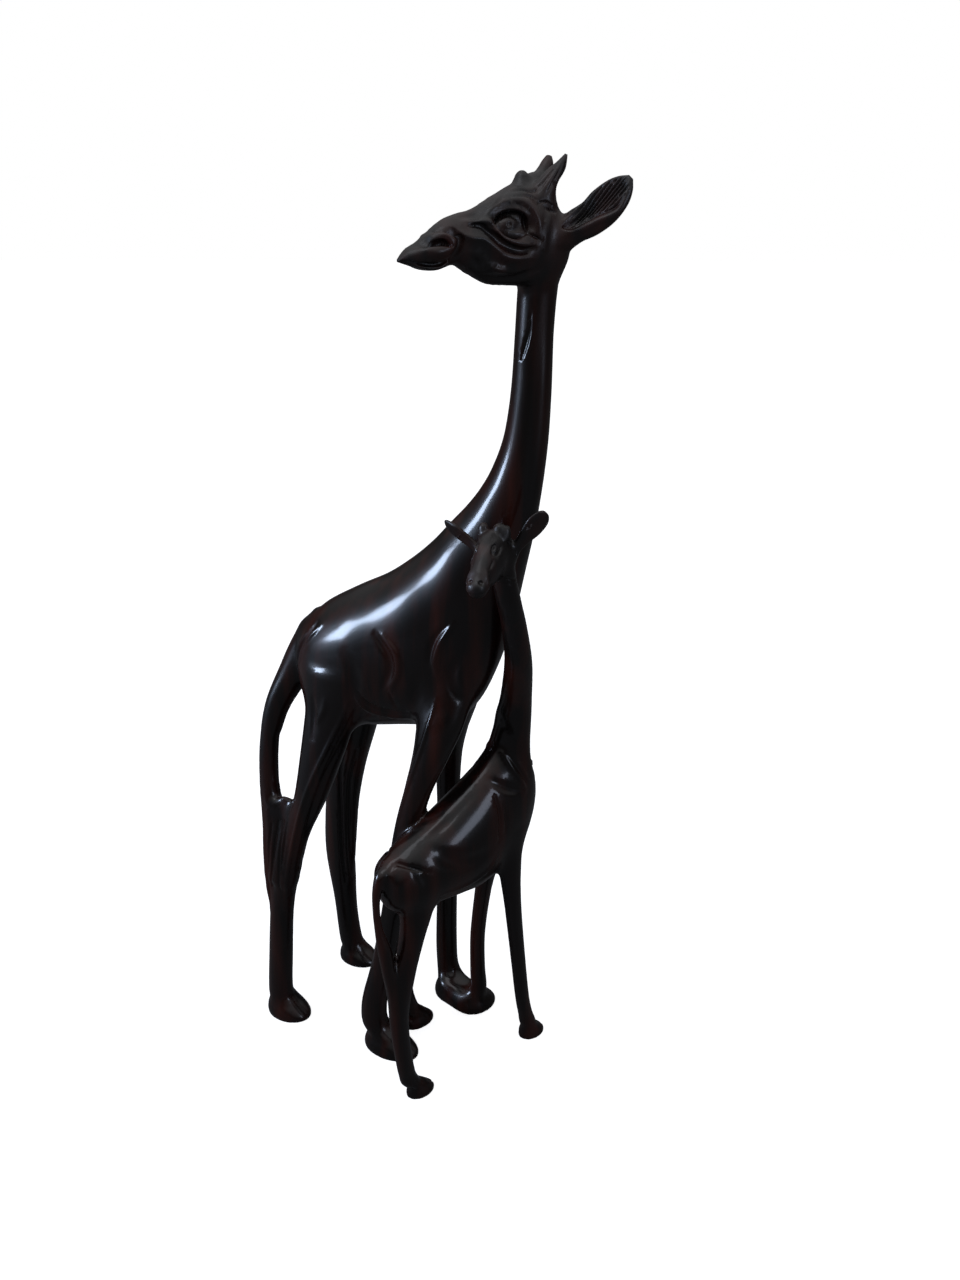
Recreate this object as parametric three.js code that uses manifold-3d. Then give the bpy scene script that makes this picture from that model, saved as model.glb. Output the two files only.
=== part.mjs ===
// A mother giraffe with her calf, carved by hand as one from a single block of dark African
// hardwood. Millimetres, +Z up. The mother faces +X and her left side is +Y. The calf crosses
// in front of her forelegs. The origin is under the middle of the group, where it stands.
import * as THREE from 'three';
import { mergeVertices } from 'three/addons/utils/BufferGeometryUtils.js';
import Module from 'manifold-3d';

const wasm = await Module();
wasm.setup();

// Finish of the wood
const WOOD_COLOUR = 0x1b1311;
const WOOD_ROUGHNESS = 0.3;

// How finely the carving is faceted: sides around each form, and rings along it
const BODY_SIDES = 18;
const SKULL_SIDES = 16;
const LIMB_SIDES = 10;
const SMALL_SIDES = 8;
const MOTHER_BODY_RINGS = 34;
const CALF_BODY_RINGS = 32;
const SKULL_RINGS = 18;
const RINGS_PER_LIMB_STATION = 1.5;
const RINGS_PER_SMALL_STATION = 1.3;

// Where the mother's own frame lies under the middle of the whole group
const GROUP_MIDDLE = [36.1, -11.7];

// The calf stands at this place in the mother's frame, turned to her left
const CALF_PLACE = [53.0, -8.0];
const CALF_TURN = 60;

// Profiles. Each station of a body is [back x, back z, belly x, belly z, half width, y].
const MOTHER_BODY = [
  [-25.5, 198.5, -22, 180, 9, 0],
  [-22.4, 208.7, -17, 169, 15, 0],
  [-13.5, 221, -7, 165.5, 19.5, 0],
  [3.8, 231.5, 8, 166, 22, 0],
  [19.7, 239.7, 26, 169.5, 22, 0],
  [32.3, 248.5, 45, 174, 21.5, 0],
  [42.1, 257, 60, 184, 19.5, 0],
  [50.3, 265.8, 70, 203.5, 17, 0],
  [57.6, 273.5, 77, 226, 14, 0],
  [63.6, 281.2, 82.3, 249.5, 11.5, 0],
  [68.6, 290, 86.8, 271.5, 9.3, 0],
  [73.2, 302.5, 90.1, 296.3, 7.8, 0],
  [75.9, 320, 91.2, 318, 7.1, 0],
  [77.2, 341, 91.5, 341, 6.9, 0],
  [78.3, 358, 93, 360, 7.1, 0],
  [81, 370, 95, 372, 7, 0],
];
const CALF_BODY = [
  [-42, 121, -43, 110, 5, -6],
  [-39.5, 125.5, -38, 101, 10, -6],
  [-31, 131, -27, 98, 12.5, -6],
  [-19, 137, -14, 97, 14, -6],
  [-8, 143.5, -3, 96, 14.5, -6],
  [2, 150, 8, 96, 14.5, -6],
  [11, 157, 22, 102, 13.5, -6],
  [17, 164, 35, 115, 12, -6],
  [19, 173, 39.3, 134, 9.8, -7],
  [18, 182, 33.6, 157, 7.8, -10],
  [16.6, 192, 30.6, 186, 6.4, -14.6],
  [11.4, 212.7, 23.4, 209.8, 5.5, -23.4],
  [5.6, 230.7, 16.4, 228.7, 5, -28.3],
  [0.4, 243, 10.6, 241.8, 4.8, -31.7],
  [-3, 256, 6.4, 255, 4.8, -33],
  [-3, 265, 6, 264, 4.8, -32.4],
  [-2, 271, 4, 271, 3.6, -31.6],
];

// Legs, from the sole up. Each station is [x, y, z, half length, half width].
const MOTHER_LEGS = [
  // near hind
  [
    [-39, -25, 15, 6.4, 5.6],
    [-37.2, -24.5, 37, 6.2, 5.5],
    [-33.8, -24, 68, 6, 5.4],
    [-27.8, -23, 95, 6.8, 5.6],
    [-21, -21.5, 115, 6.8, 6],
    [-14.4, -20, 133, 8.3, 6.8],
    [-8.8, -17.5, 154, 10.6, 8],
    [-4, -14, 175, 13, 9.5],
    [0, -10, 195, 15, 11],
  ],
  // far hind
  [
    [-27.5, 25, 15, 6.4, 5.4],
    [-29, 24.8, 38, 6.2, 5.4],
    [-29.8, 24.5, 70, 8.8, 5.8],
    [-26.4, 23.5, 102, 9.4, 6],
    [-20.8, 21.5, 127, 10.2, 6.8],
    [-13.5, 19, 148, 10.5, 7.8],
    [-7, 15, 170, 12.5, 9],
    [-2, 11, 192, 14, 11],
  ],
  // near fore
  [
    [17.2, -25.5, 15, 6.8, 5.8],
    [17.4, -25, 28, 6.4, 5.5],
    [22.9, -24.5, 52, 5.7, 5.1],
    [30.6, -24, 90, 5.4, 5.2],
    [37.4, -23, 127, 6, 5.5],
    [41.8, -21, 147, 6.1, 6.2],
    [47.4, -17.5, 166, 8.2, 7.8],
    [51, -13.5, 183, 10.5, 9],
    [53, -7, 203, 9, 7],
  ],
  // far fore
  [
    [32.6, 25.3, 15, 5.8, 5.3],
    [32.2, 25, 31, 5.6, 5],
    [33, 24.5, 57, 5.3, 4.9],
    [34.6, 24, 98, 5.4, 5],
    [36, 22.5, 139, 6.2, 5.9],
    [39.5, 18.5, 160, 7.8, 7.4],
    [45, 14, 180, 10, 9.5],
    [50, 7, 202, 10, 8],
  ],
];
// Each foot is [x, y, half length, half width, height of the hoof]
const MOTHER_FEET = [
  [-34.8, -25, 11.6, 7.7, 9.5],
  [-22.5, 25, 11, 7.4, 8.6],
  [25.8, -25.4, 14, 7.8, 9],
  [40, 21.5, 12.2, 8.2, 9.5],
];
const CALF_LEGS = [
  // near hind
  [
    [-36.8, -15, 10, 4.1, 3.3],
    [-39.2, -15, 24, 4.1, 3.5],
    [-40.5, -14.5, 47, 4.5, 3.7],
    [-37.6, -14, 66, 5.3, 4.2],
    [-32, -12.5, 84, 5.9, 5],
    [-27.4, -10.5, 98, 7.9, 6.5],
    [-25.5, -8, 112, 11.5, 8.5],
  ],
  // far hind
  [
    [-12, 22, 9, 4.3, 3.4],
    [-17, 20, 29, 4.1, 3.5],
    [-17.5, 17, 53, 4.4, 3.8],
    [-20, 12, 78, 5.2, 4.6],
    [-22, 6, 96, 8, 6.2],
    [-24, 0, 112, 10, 7.4],
  ],
  // near fore
  [
    [31.4, -17, 9, 3.8, 3.3],
    [28.4, -16.7, 26, 3.6, 3.2],
    [24.7, -16.2, 60, 3.8, 3.4],
    [22.4, -15.5, 85, 4.3, 3.9],
    [22, -13.5, 104, 5.8, 5],
    [23.5, -10, 122, 8.4, 6.5],
  ],
  // far fore
  [
    [24.5, 13, 9, 4.3, 3.8],
    [22.8, 13, 26, 4, 3.6],
    [22.6, 12.5, 48, 3.9, 3.5],
    [23.6, 9, 77, 4.3, 4],
    [24.5, 4, 100, 6, 5.2],
    [24, 0, 118, 8, 7],
  ],
];
const CALF_FEET = [
  [-31.2, -15.5, 6.6, 4.5, 5.6],
  [-7.6, 22.5, 7.4, 5.2, 7],
  [34.2, -17.5, 6.6, 4.6, 6],
  [24, 14.5, 9, 6.4, 7.5],
];

// Tails, from the rump down: [x, y, z, half thickness]
const MOTHER_TAIL = [
  [-20, 0, 203, 6],
  [-27, -2, 198.5, 6.6],
  [-32.4, -5.5, 186, 6],
  [-37.8, -11, 170, 4.6],
  [-40.5, -14, 152, 4.5],
  [-40.4, -17, 132, 4.7],
  [-37.6, -20, 112, 5.6],
  [-37.6, -22.5, 95, 5],
  [-38.2, -24, 76, 3.8],
  [-38, -24.5, 64, 2.2],
];
const MOTHER_TAIL_WEB = [
  [-22, -1, 204, 7],
  [-26, -3, 192, 6],
  [-29.5, -6, 182, 4],
  [-31, -8, 176, 2],
];
const MOTHER_TUFT_ROOT = [
  [-27.5, -20.5, 129, 1.5],
  [-28.2, -20.5, 125, 5],
  [-29.5, -21, 116, 7.5],
  [-31, -22, 102, 7.5],
  [-33, -23, 84, 5],
];
const CALF_TAIL = [
  [-37, -7, 122, 4.5],
  [-42.5, -8, 121, 3.2],
  [-45.6, -8.7, 115.5, 2],
  [-46.5, -9, 106, 1.6],
  [-46.2, -10, 96, 1.9],
  [-44.8, -11.5, 86, 3.1],
  [-43.9, -12.5, 76, 3.2],
  [-43.1, -13.3, 67, 3],
  [-42.5, -14, 57, 2.4],
  [-41.8, -14.5, 45, 1.7],
  [-41.2, -15, 36, 1],
];

// Heads, in the head's own frame: along the nose, to its left, up, from the poll between the
// ears. The calf's head is drawn at its mother's size and made smaller. Each station of a skull
// is [top x, top z, under x, under z, half width].
const MOTHER_SKULL = [
  [57, -10.9, 57, -11.9, 1.2],
  [54.2, -7.8, 54, -12.8, 3.4],
  [50.6, -5.8, 50.3, -13.8, 5.2],
  [46, -2.4, 46, -14.6, 6.1],
  [41, 1.2, 41.5, -14, 6.4],
  [35.5, 3.2, 37, -12.9, 6.8],
  [30, 4.6, 32, -15.6, 7.5],
  [22, 8.8, 24.5, -19, 8.7],
  [14, 12.8, 17, -19.6, 10],
  [7, 13.4, 9, -19.8, 10.3],
  [2, 11.2, 2, -19.6, 10],
  [-2, 6, -2.5, -18, 8.8],
  [-5, 0.5, -5.5, -14, 6.6],
  [-6.8, -4, -7.2, -9.5, 3],
];
const CALF_SKULL = [
  [47.4, -11, 47, -13.2, 3],
  [46.6, -7.8, 46.2, -15.2, 5.4],
  [44, -4.4, 43.8, -16.4, 6.7],
  [40, -0.8, 40, -16.2, 7],
  [35.5, 2, 36, -15, 6.4],
  [29.5, 5.4, 30.5, -15.8, 7],
  [22, 9.4, 24.5, -18.6, 8.7],
  [14, 12.6, 17, -19.4, 10],
  [7, 13.2, 9, -19.6, 10.6],
  [2, 11.2, 2, -19.4, 10.4],
  [-2, 6, -2.5, -18, 9],
  [-5, 0.5, -5.5, -14, 6.8],
  [-6.8, -4, -7.2, -9.5, 3],
];

// Horns, the knob on her forehead and the ridge between them, from base to tip: [x, y, z, radius]
const MOTHER_HORNS = [
  // near horn
  [[5, 4.4, 7, 4.6], [4, 4.9, 11.5, 3.9], [1.6, 5.4, 15.3, 2.9], [-1.2, 5.8, 18.6, 1.8], [-3.3, 6, 22.5, 0.2]],
  // far horn
  [[5, -4.4, 7, 4.8], [3.4, -4.8, 12, 3.7], [-0.8, -5.6, 17, 2.5], [-2.8, -6, 20, 2.1], [-3.4, -6.1, 22.2, 1]],
  // knob
  [[10.8, 0, 11, 2.6], [10.8, 0, 13.5, 2.7], [10.7, 0, 15.6, 2.2], [10.7, 0, 16.8, 0.8]],
  // ridge
  [[11, -1, 9, 3], [8, -1.6, 12.4, 3], [4.4, -2.4, 13.8, 3], [1, -3.4, 14.6, 2]],
];
const CALF_STUBS = [
  [[4, -5.6, 7, 4.2], [3.2, -6.2, 11.5, 3.5], [2.4, -6.5, 14.4, 2.9], [2, -6.5, 16, 1.5]],
  [[4, 4.6, 8, 4.6], [3.4, 4.6, 12.5, 4.2], [3, 4.4, 15.6, 3.2], [2.8, 4.2, 16.8, 1.6]],
  [[4, 7.6, 7, 4], [3, 8.6, 11.5, 3.2], [2.4, 9.2, 14.2, 2.2], [2.2, 9.4, 15.4, 1]],
];

// Ears, in the head's frame: the leaf runs from its root along its reach, and its hollow looks
// along face. Each row of a leaf is [share of the reach, shift across, half width, half thickness].
const MOTHER_LEAF = [
  [0, 0.3, 5.4, 4],
  [0.2, 0.3, 5.7, 3.6],
  [0.4, 1.3, 6.2, 3.2],
  [0.6, 1, 6.7, 2.9],
  [0.8, 0.2, 5.7, 2.4],
  [0.93, -0.6, 3.7, 1.8],
  [1.02, -1.2, 1, 0.8],
];
const CALF_LEAF = [
  [0, 0, 5, 4],
  [0.2, 0.6, 3.9, 3.3],
  [0.4, 1.8, 4.7, 2.9],
  [0.6, 2.8, 6.2, 2.6],
  [0.8, 3, 6.4, 2.2],
  [0.93, 2.2, 4.6, 1.7],
  [1.02, 1.2, 1.6, 0.8],
];
const MOTHER_EARS = [
  { leaf: MOTHER_LEAF, side: 1, root: [-1, 7, -4], reach: [-16.6, 16.6, 17], face: [0.72, 0.62, 0.3] },
  { leaf: MOTHER_LEAF, side: -1, root: [-1, 7, -4], reach: [-14, 20, 13], face: [0.72, 0.62, 0.3] },
];
const CALF_EARS = [
  { leaf: CALF_LEAF, side: 1, root: [-1, 9, -8], reach: [-3, 20, 35], face: [0.76, 0.5, -0.4] },
  { leaf: CALF_LEAF, side: -1, root: [-1, 9, -8], reach: [-3, 25, 20], face: [0.76, 0.5, -0.4] },
];

const MOTHER_HEAD = {
  skull: MOTHER_SKULL,
  horns: MOTHER_HORNS,
  ears: MOTHER_EARS,
  poll: [88.6, 0, 375.8],
  heading: -129,
  dip: 0,
  size: 1,
};
const CALF_HEAD = {
  skull: CALF_SKULL,
  horns: CALF_STUBS,
  ears: CALF_EARS,
  poll: [79.6, -23.8, 265.5],
  heading: -85,
  dip: 12,
  size: 0.58,
};

// A ring of a loft: its middle and the two half axes that span it
const ring = (middle, up, side) => ({ middle, up, side });

// Catmull-Rom curves carry the middles and half axes of a few stations through many rings
function smoothRings(stations, count) {
  const curve = (key) => new THREE.CatmullRomCurve3(stations.map((s) => s[key]), false, 'catmullrom', 0.5);
  const curves = { middle: curve('middle'), up: curve('up'), side: curve('side') };
  return Array.from({ length: count + 1 }, (_, i) => {
    const t = i / count;
    return ring(curves.middle.getPoint(t), curves.up.getPoint(t), curves.side.getPoint(t));
  });
}

// Closes a row of rings into one skin, flat at both ends
function skin(rings, sides) {
  const points = [];
  for (const { middle, up, side } of rings) {
    for (let k = 0; k < sides; k++) {
      const turn = (2 * Math.PI * k) / sides;
      const point = middle.clone().addScaledVector(up, Math.cos(turn)).addScaledVector(side, Math.sin(turn));
      points.push(point);
    }
  }
  const faces = [];
  for (let i = 0; i + 1 < rings.length; i++) {
    for (let k = 0; k < sides; k++) {
      const next = (k + 1) % sides;
      const [a, b] = [i * sides + k, i * sides + next];
      faces.push([a, b, b + sides], [a, b + sides, a + sides]);
    }
  }
  const ends = [points.length, points.length + 1];
  points.push(rings[0].middle.clone(), rings[rings.length - 1].middle.clone());
  const last = (rings.length - 1) * sides;
  for (let k = 0; k < sides; k++) {
    const next = (k + 1) % sides;
    faces.push([ends[0], next, k], [ends[1], last + k, last + next]);
  }
  return { points, faces };
}

// Volume inside a closed skin, negative where its faces point inwards
function signedVolume({ points, faces }) {
  const volumes = faces.map(([a, b, c]) => points[a].dot(points[b].clone().cross(points[c])) / 6);
  return volumes.reduce((sum, v) => sum + v, 0);
}

// Turns a skin into a solid, faces outwards
function solid(shape) {
  const inward = signedVolume(shape) < 0;
  const faces = inward ? shape.faces.map(([a, b, c]) => [a, c, b]) : shape.faces;
  const geometry = new THREE.BufferGeometry();
  const values = shape.points.flatMap((p) => [p.x, p.y, p.z]);
  geometry.setAttribute('position', new THREE.Float32BufferAttribute(values, 3));
  geometry.setIndex(faces.flat());
  const merged = mergeVertices(geometry);
  const mesh = new wasm.Mesh({
    numProp: 3,
    vertProperties: merged.attributes.position.array,
    triVerts: Uint32Array.from(merged.index.array),
  });
  return new wasm.Manifold(mesh);
}

const loft = (stations, count, sides) => solid(skin(smoothRings(stations, count), sides));

// A body or head station spans from the back to the belly line
function spanStation([topX, topZ, underX, underZ, width, y = 0]) {
  const top = new THREE.Vector3(topX, y, topZ);
  const under = new THREE.Vector3(underX, y, underZ);
  const middle = top.clone().add(under).multiplyScalar(0.5);
  const side = new THREE.Vector3(0, width, 0);
  return ring(middle, top.sub(middle), side);
}

// A leg station lies level
function levelStation([x, y, z, length, width]) {
  return ring(new THREE.Vector3(x, y, z), new THREE.Vector3(length, 0, 0), new THREE.Vector3(0, width, 0));
}

// The hoof under a leg: a flat sole longer than the leg is thick, drawn in at the pastern
function hoofStations([x, y, length, width, height]) {
  return [
    [x, y, 0, length, width],
    [x - length * 0.02, y, height * 0.25, length, width * 1.03],
    [x - length * 0.13, y, height * 0.6, length * 0.84, width * 0.95],
    [x - length * 0.25, y, height, length * 0.62, width * 0.78],
  ];
}

function leg(foot, stations) {
  const rows = [...hoofStations(foot), ...stations];
  return loft(rows.map(levelStation), Math.round(rows.length * RINGS_PER_LIMB_STATION), LIMB_SIDES);
}

// A round tapering form along a bent line, such as a tail or a horn
function taper(rows, across = new THREE.Vector3(0, 1, 0)) {
  const middles = rows.map(([x, y, z]) => new THREE.Vector3(x, y, z));
  const line = new THREE.CatmullRomCurve3(middles, false, 'catmullrom', 0.5);
  const stations = rows.map(([, , , up, side = up], i) => {
    const along = line.getTangent(i / (rows.length - 1));
    const first = along.clone().cross(across).normalize();
    const second = along.clone().cross(first).normalize();
    return ring(middles[i], first.multiplyScalar(up), second.multiplyScalar(side));
  });
  return loft(stations, Math.round(rows.length * RINGS_PER_SMALL_STATION), SMALL_SIDES);
}

// The ear on one side of the head, 1 for the left and -1 for the right
function ear({ leaf, side, root, reach, face }) {
  const [start, run] = [new THREE.Vector3(...root), new THREE.Vector3(...reach)];
  const facing = new THREE.Vector3(...face);
  const across = run.clone().cross(facing).normalize();
  const rows = leaf.map(([share, shift, wide, thick]) => {
    const { x, y, z } = start.clone().addScaledVector(run, share).addScaledVector(across, shift);
    return [x, side * y, z, wide, thick];
  });
  return taper(rows, facing.multiply(new THREE.Vector3(1, side, 1)));
}

function head({ skull, horns, ears, poll, heading, dip, size }) {
  const parts = [
    loft(skull.map(spanStation), SKULL_RINGS, SKULL_SIDES),
    ...horns.map((rows) => taper(rows)),
    ...ears.map(ear),
  ];
  const whole = parts.reduce((sum, part) => sum.add(part));
  return whole.scale(size).rotate([0, dip, 0]).rotate([0, 0, heading]).translate(poll);
}

function mother() {
  const parts = [
    loft(MOTHER_BODY.map(spanStation), MOTHER_BODY_RINGS, BODY_SIDES),
    ...MOTHER_LEGS.map((rows, i) => leg(MOTHER_FEET[i], rows)),
    taper(MOTHER_TAIL),
    taper(MOTHER_TAIL_WEB),
    taper(MOTHER_TUFT_ROOT),
    head(MOTHER_HEAD),
  ];
  return parts.reduce((sum, part) => sum.add(part));
}

function calf() {
  const parts = [
    loft(CALF_BODY.map(spanStation), CALF_BODY_RINGS, BODY_SIDES),
    ...CALF_LEGS.map((rows, i) => leg(CALF_FEET[i], rows)),
    taper(CALF_TAIL),
  ];
  const body = parts.reduce((sum, part) => sum.add(part));
  const placed = body.rotate([0, 0, CALF_TURN]).translate([...CALF_PLACE, 0]);
  return placed.add(head(CALF_HEAD));
}

// The finished carving as one mesh, its origin under the middle of the group
function carving() {
  const [middleX, middleY] = GROUP_MIDDLE;
  const whole = mother().add(calf()).translate([-middleX, -middleY, 0]);
  const { vertProperties, triVerts } = whole.getMesh();
  const geometry = new THREE.BufferGeometry();
  geometry.setAttribute('position', new THREE.BufferAttribute(vertProperties, 3));
  geometry.setIndex(Array.from(triVerts));
  geometry.computeVertexNormals();
  const wood = new THREE.MeshStandardMaterial({
    color: WOOD_COLOUR,
    roughness: WOOD_ROUGHNESS,
    metalness: 0,
  });
  const mesh = new THREE.Mesh(geometry, wood);
  mesh.name = 'giraffe_and_calf_carving';
  return mesh;
}

const group = new THREE.Group();
group.add(carving());

export default group;
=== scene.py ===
"""A mother giraffe and her calf, carved by hand as one from a block of near-black African hardwood."""
import math

import bpy
import numpy as np
from mathutils import Euler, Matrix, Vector


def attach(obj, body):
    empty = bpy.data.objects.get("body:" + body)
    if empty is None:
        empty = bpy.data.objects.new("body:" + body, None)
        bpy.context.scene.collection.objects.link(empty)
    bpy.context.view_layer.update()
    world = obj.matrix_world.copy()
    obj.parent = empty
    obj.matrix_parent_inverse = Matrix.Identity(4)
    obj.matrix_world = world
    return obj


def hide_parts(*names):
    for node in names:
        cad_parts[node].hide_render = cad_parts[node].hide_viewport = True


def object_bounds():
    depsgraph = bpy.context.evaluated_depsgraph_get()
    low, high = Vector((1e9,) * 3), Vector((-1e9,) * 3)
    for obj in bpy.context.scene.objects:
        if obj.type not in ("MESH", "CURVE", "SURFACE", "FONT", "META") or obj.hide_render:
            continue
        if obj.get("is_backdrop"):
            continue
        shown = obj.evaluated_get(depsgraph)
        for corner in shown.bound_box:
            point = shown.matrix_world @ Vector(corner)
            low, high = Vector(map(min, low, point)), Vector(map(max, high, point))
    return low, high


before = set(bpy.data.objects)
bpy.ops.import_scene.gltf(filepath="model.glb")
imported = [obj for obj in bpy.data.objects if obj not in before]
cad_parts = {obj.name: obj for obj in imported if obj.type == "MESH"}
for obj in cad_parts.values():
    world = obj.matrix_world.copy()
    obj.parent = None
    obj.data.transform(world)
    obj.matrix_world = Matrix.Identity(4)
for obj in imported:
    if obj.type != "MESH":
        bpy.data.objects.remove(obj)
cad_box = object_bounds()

# The mother's trunk and neck
# The carver roughs the block out into smooth rolls. Her back slopes up to the withers, and her
# neck goes up from them, oval at its foot and nearly round under the jaw. Sizes are millimetres.
REACH = 10.0  # how far out of the wood distances are still worked out
AT_ONCE = 40000  # points measured in one go


def curve(stations, steps):
    """Many stations on one smooth curve that runs through the few given."""
    rows = np.array(stations, float)
    rows = np.vstack([2 * rows[0] - rows[1], rows, 2 * rows[-1] - rows[-2]])
    t = np.linspace(0, 1, steps, endpoint=False)[:, None]
    pieces = []
    for a, b, c, d in zip(rows, rows[1:], rows[2:], rows[3:]):
        bend = (2 * a - 5 * b + 4 * c - d) * t ** 2 + (3 * b - a - 3 * c + d) * t ** 3
        pieces.append(b + 0.5 * ((c - a) * t + bend))
    return np.vstack([*pieces, rows[-2][None]])


def soft_min(a, b, soft):
    """The nearer of two forms, with a rounded inside corner that is soft millimetres wide."""
    gap = np.maximum(soft - np.abs(a - b), 0) / soft
    return np.minimum(a, b) - gap * gap * soft / 4


class Roll:
    """A smooth roll of wood through stations of [middle, one half axis, the other half axis]."""

    def __init__(self, stations, steps=6):
        rings = curve(stations, steps)
        self.middle, self.up, self.side = rings[:, :3], rings[:, 3:6], rings[:, 6:]
        normal = np.cross(self.up, self.side)
        normal /= np.linalg.norm(normal, axis=1)[:, None]
        along = np.gradient(self.middle, axis=0)
        self.normal = normal * np.sign(np.sum(normal * along, axis=1))[:, None]
        reach = np.abs(self.up) + np.abs(self.side)
        self.low = (self.middle - reach).min(0)
        self.high = (self.middle + reach).max(0)

    def near(self, points, margin=REACH):
        close = (points > self.low - margin) & (points < self.high + margin)
        return np.flatnonzero(np.all(close, axis=1))

    def measure(self, points):
        """Distance to the skin, place along the roll, and the two shares across its oval."""
        parts = [self.measure_some(part) for part in np.array_split(points, len(points) // AT_ONCE + 1)]
        return [np.concatenate(column) for column in zip(*parts)]

    def measure_some(self, points):
        """Finds the two rings that each point lies between, and measures across the oval there."""
        ahead = points @ self.normal.T - np.sum(self.middle * self.normal, axis=1)
        apart = np.sum(self.middle ** 2, axis=1) - 2 * points @ self.middle.T
        last = len(self.middle) - 2
        between = (ahead[:, :-1] >= 0) & (ahead[:, 1:] < 0)
        n = np.arange(len(points))
        i = np.where(between, apart[:, :-1] + apart[:, 1:], np.inf).argmin(1)
        lost = ~between[n, i]
        before = apart[:, 0] < apart[:, -1]
        i = np.where(lost, np.where(before, 0, last), i)
        here, there = ahead[n, i], ahead[n, i + 1]
        step = np.where(here == there, 1, here - there)
        share = np.where(lost, np.where(before, 0, 1), here / step)[:, None]
        beyond = np.where(lost, np.where(before, here, there), 0)
        middle = self.middle[i] + share * (self.middle[i + 1] - self.middle[i])
        up = self.up[i] + share * (self.up[i + 1] - self.up[i])
        side = self.side[i] + share * (self.side[i + 1] - self.side[i])
        a, b = np.linalg.norm(up, axis=1), np.linalg.norm(side, axis=1)
        u = np.sum((points - middle) * up, axis=1) / a ** 2
        v = np.sum((points - middle) * side, axis=1) / b ** 2
        out = np.hypot(u, v)
        distance = out * (out - 1) / np.maximum(np.hypot(u / a, v / b), 1e-6)
        distance = np.where(lost, np.hypot(np.maximum(distance, 0), beyond), distance)
        return distance, (i + share[:, 0]) / (last + 1), u, v

    def distance(self, points):
        return self.measure(points)[0]


def join(field, points, form, soft):
    """Lets one more form grow out of the wood."""
    close = form.near(points)
    if close.size:
        field[close] = soft_min(field[close], form.distance(points[close]), soft)


def span(top_x, top_z, under_x, under_z, width, y=0):
    """A body station, from its back line to its belly line."""
    top, under = np.array([top_x, y, top_z]), np.array([under_x, y, under_z])
    middle = (top + under) / 2
    return [*middle, *(top - middle), 0, width, 0]


MOTHER_BODY = Roll([
    span(-25.5, 198.5, -22, 180, 9),
    span(-22.4, 208.7, -17, 169, 15),
    span(-13.5, 221, -7, 165.5, 19.5),
    span(3.8, 231.5, 8, 166, 22),
    span(19.7, 239.7, 26, 169.5, 22),
    span(32.3, 248.5, 45, 174, 21.5),
    span(42.1, 257, 60, 184, 19.5),
    span(50.3, 265.8, 70, 203.5, 17),
    span(57.6, 273.5, 77, 226, 14),
    span(63.6, 281.2, 82.3, 249.5, 11.5),
    span(68.6, 290, 86.8, 271.5, 9.3),
    span(73.2, 302.5, 90.1, 296.3, 7.8),
    span(75.9, 320, 91.2, 318, 7.1),
    span(77.2, 341, 91.5, 341, 6.9),
    span(78.3, 358, 93, 360, 7.1),
    span(81, 370, 95, 372, 7),
])

# Her legs and hooves
# Four slim legs, each carved down from the trunk to a flat-soled hoof that is longer than the leg
# is thick and slopes down to its toe.
def level(x, y, z, length, width):
    """A leg station, level with the floor."""
    return [x, y, z, length, 0, 0, 0, width, 0]


# from the sole up, as shares of the hoof's own sizes: [set back, height, length, width]
HOOF_SHAPE = [(0, 0, 1, 1), (0.02, 0.25, 1, 1.03), (0.13, 0.6, 0.84, 0.95), (0.25, 1, 0.62, 0.78)]


def hoof(x, y, length, width, height):
    """Stations of one hoof, from its flat sole up to the pastern."""
    return [
        level(x - back * length, y, up * height, long * length, wide * width)
        for back, up, long, wide in HOOF_SHAPE
    ]


def legs(feet, rows):
    return [Roll(hoof(*foot) + [level(*row) for row in leg]) for foot, leg in zip(feet, rows)]


def rise(value, start, end):
    """0 up to start, 1 from end, and even between."""
    return np.clip((value - start) / (end - start), 0, 1)


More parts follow.
